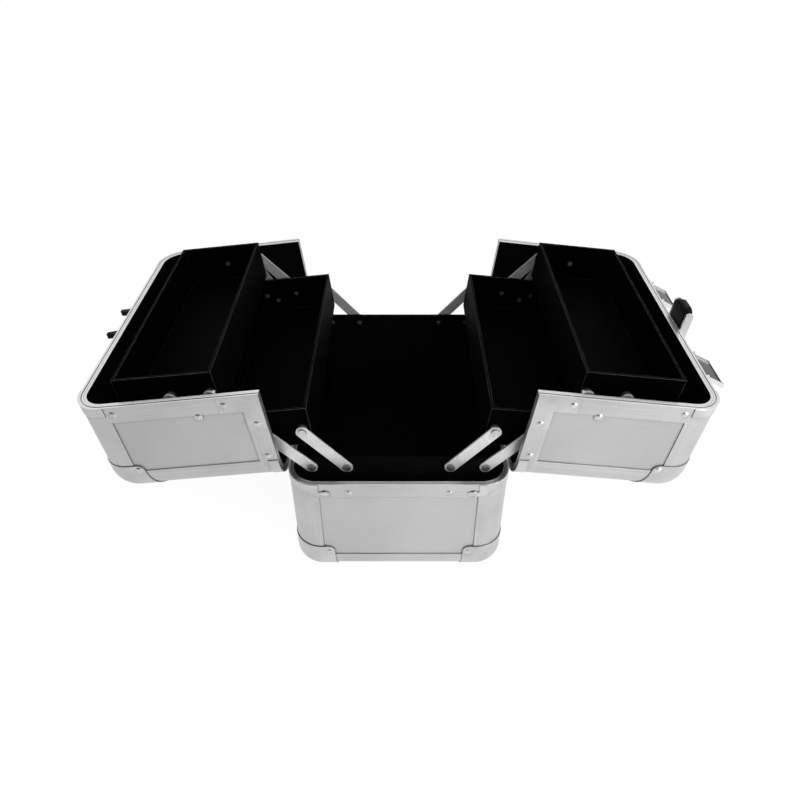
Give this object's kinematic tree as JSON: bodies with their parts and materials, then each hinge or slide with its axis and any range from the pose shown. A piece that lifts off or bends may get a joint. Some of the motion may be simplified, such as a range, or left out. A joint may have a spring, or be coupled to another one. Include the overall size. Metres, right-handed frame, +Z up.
{
  "type": "makeup train case",
  "caption": "Box-shaped silver makeup train case whose lid halves hinge outwards and lift black cantilever trays on link bars; chrome corner caps, latches and a carry handle.",
  "frame": {"origin": "on the ground under the middle of the base", "axes": "+X across the case to the lid half with the handle, +Y from the front end to the back end, +Z up; rest pose is the open case"},
  "size_m": [0.6777, 0.3408, 0.2729],
  "materials": {
    "silver_board": "silver-grey laminate with a fine grain on thin board",
    "extrusion": "satin anodised aluminium profile",
    "bright_trim": "bright chrome-plated pressed steel",
    "pivot_rivet": "bright plated rivets",
    "black_lining": "black flocked lining over board",
    "hinge_steel": "plated steel hinge",
    "black_leatherette": "black leatherette over thin board",
    "link_steel": "zinc-plated flat steel bar",
    "handle_plastic": "black textured plastic"
  },
  "bodies": {
    "base": {"base_panels": "silver_board", "base_floor_panel": "silver_board", "base_corner_posts": "extrusion", "base_bottom_rails": "extrusion", "base_rim": "extrusion", "base_rim_corners": "bright_trim", "base_corner_caps": "bright_trim", "base_lining": "black_lining", "pivot_boards": "black_lining", "base_pivot_rivets": "pivot_rivet", "base_rivets": "bright_trim", "left_hinge_base_leaves": "hinge_steel", "left_hinge_pins": "hinge_steel", "right_hinge_base_leaves": "hinge_steel", "right_hinge_pins": "hinge_steel"},
    "left_lid": {"left_lid_panels": "silver_board", "left_lid_edge_rails": "extrusion", "left_lid_rim": "extrusion", "left_lid_rim_corners": "bright_trim", "left_lid_corner_plates": "bright_trim", "left_lid_corner_caps": "bright_trim", "left_lid_lining": "black_lining", "left_lid_rivets": "bright_trim", "left_hinge_lid_leaves": "hinge_steel", "latch_keepers": "bright_trim", "handle_catch": "handle_plastic"},
    "left_long_arms": {"left_long_arms": "link_steel"},
    "left_short_arms": {"left_short_arms": "link_steel"},
    "left_upper_arms": {"left_upper_arms": "link_steel"},
    "left_lid_links": {"left_lid_links": "link_steel"},
    "left_lower_tray": {"left_lower_tray": "black_leatherette", "left_lower_tray_rivets": "pivot_rivet"},
    "left_upper_tray": {"left_upper_tray": "black_leatherette", "left_upper_tray_rivets": "pivot_rivet"},
    "right_lid": {"right_lid_panels": "silver_board", "right_lid_edge_rails": "extrusion", "right_lid_rim": "extrusion", "right_lid_rim_corners": "bright_trim", "right_lid_corner_plates": "bright_trim", "right_lid_corner_caps": "bright_trim", "right_lid_lining": "black_lining", "right_lid_rivets": "bright_trim", "right_hinge_lid_leaves": "hinge_steel", "latch_plates": "bright_trim", "handle_ears": "handle_plastic"},
    "right_long_arms": {"right_long_arms": "link_steel"},
    "right_short_arms": {"right_short_arms": "link_steel"},
    "right_upper_arms": {"right_upper_arms": "link_steel"},
    "right_lid_links": {"right_lid_links": "link_steel"},
    "right_lower_tray": {"right_lower_tray": "black_leatherette", "right_lower_tray_rivets": "pivot_rivet"},
    "right_upper_tray": {"right_upper_tray": "black_leatherette", "right_upper_tray_rivets": "pivot_rivet"},
    "front_latch_flap": {"front_latch_flap": "bright_trim"},
    "back_latch_flap": {"back_latch_flap": "bright_trim"},
    "carry_handle": {"carry_handle": "handle_plastic", "handle_side_plates": "bright_trim"}
  },
  "joints": [
    {"name": "left_lid_hinge", "type": "hinge", "parent": "base", "child": "left_lid", "pos_m": [-0.1208, 0, 0.1459], "axis": [0, 1, 0], "range_deg": [0, 96.5]},
    {"name": "left_long_arm_swing", "type": "hinge", "parent": "base", "child": "left_long_arms", "pos_m": [-0.0935, 0, 0.1515], "axis": [0, 1, 0], "range_deg": [0, 83.71]},
    {"name": "left_short_arm_swing", "type": "hinge", "parent": "base", "child": "left_short_arms", "pos_m": [-0.0557, 0, 0.1515], "axis": [0, 1, 0], "range_deg": [0, 84.38]},
    {"name": "left_lower_tray_swing", "type": "hinge", "parent": "left_long_arms", "child": "left_lower_tray", "pos_m": [-0.13979, 0, 0.19994], "axis": [0, 1, 0], "range_deg": [-77.71, 0]},
    {"name": "left_upper_tray_swing", "type": "hinge", "parent": "left_long_arms", "child": "left_upper_tray", "pos_m": [-0.18608, 0, 0.24838], "axis": [0, 1, 0], "range_deg": [-77.71, 0]},
    {"name": "left_upper_arm_swing", "type": "hinge", "parent": "left_lower_tray", "child": "left_upper_arms", "pos_m": [-0.17957, 0, 0.19576], "axis": [0, 1, 0], "range_deg": [0, 77.71]},
    {"name": "left_lid_link_swing", "type": "hinge", "parent": "left_lid", "child": "left_lid_links", "pos_m": [-0.1946, 0, 0.2372], "axis": [0, 1, 0], "range_deg": [0, 9.5]},
    {"name": "right_lid_hinge", "type": "hinge", "parent": "base", "child": "right_lid", "pos_m": [0.1208, 0, 0.1459], "axis": [0, -1, 0], "range_deg": [0, 96.5]},
    {"name": "right_long_arm_swing", "type": "hinge", "parent": "base", "child": "right_long_arms", "pos_m": [0.0935, 0, 0.1515], "axis": [0, -1, 0], "range_deg": [0, 83.71]},
    {"name": "right_short_arm_swing", "type": "hinge", "parent": "base", "child": "right_short_arms", "pos_m": [0.0557, 0, 0.1515], "axis": [0, -1, 0], "range_deg": [0, 84.38]},
    {"name": "right_lower_tray_swing", "type": "hinge", "parent": "right_long_arms", "child": "right_lower_tray", "pos_m": [0.13979, 0, 0.19994], "axis": [0, -1, 0], "range_deg": [-77.71, 0]},
    {"name": "right_upper_tray_swing", "type": "hinge", "parent": "right_long_arms", "child": "right_upper_tray", "pos_m": [0.18608, 0, 0.24838], "axis": [0, -1, 0], "range_deg": [-77.71, 0]},
    {"name": "right_upper_arm_swing", "type": "hinge", "parent": "right_lower_tray", "child": "right_upper_arms", "pos_m": [0.17957, 0, 0.19576], "axis": [0, -1, 0], "range_deg": [0, 77.71]},
    {"name": "right_lid_link_swing", "type": "hinge", "parent": "right_lid", "child": "right_lid_links", "pos_m": [0.1946, 0, 0.2372], "axis": [0, -1, 0], "range_deg": [0, 9.5]},
    {"name": "front_latch_swing", "type": "hinge", "parent": "right_lid", "child": "front_latch_flap", "pos_m": [0.32307, -0.078, 0.23306], "axis": [0, -1, 0], "range_deg": [-25, 110]},
    {"name": "back_latch_swing", "type": "hinge", "parent": "right_lid", "child": "back_latch_flap", "pos_m": [0.32307, 0.078, 0.23306], "axis": [0, -1, 0], "range_deg": [-25, 110]},
    {"name": "handle_swing", "type": "hinge", "parent": "right_lid", "child": "carry_handle", "pos_m": [0.32191, 0, 0.21407], "axis": [0, 1, 0], "range_deg": [0, 170]}
  ],
  "couplings": [
    {"joint": "left_long_arm_swing", "follows": "left_lid_hinge", "ratio": 0.86736},
    {"joint": "left_short_arm_swing", "follows": "left_lid_hinge", "ratio": 0.87436},
    {"joint": "left_lower_tray_swing", "follows": "left_lid_hinge", "ratio": -0.80518},
    {"joint": "left_upper_tray_swing", "follows": "left_lid_hinge", "ratio": -0.80518},
    {"joint": "left_upper_arm_swing", "follows": "left_lid_hinge", "ratio": 0.80518},
    {"joint": "left_lid_link_swing", "follows": "left_lid_hinge", "ratio": 0.098342},
    {"joint": "right_long_arm_swing", "follows": "right_lid_hinge", "ratio": 0.86736},
    {"joint": "right_short_arm_swing", "follows": "right_lid_hinge", "ratio": 0.87436},
    {"joint": "right_lower_tray_swing", "follows": "right_lid_hinge", "ratio": -0.80518},
    {"joint": "right_upper_tray_swing", "follows": "right_lid_hinge", "ratio": -0.80518},
    {"joint": "right_upper_arm_swing", "follows": "right_lid_hinge", "ratio": 0.80518},
    {"joint": "right_lid_link_swing", "follows": "right_lid_hinge", "ratio": 0.098342}
  ]
}
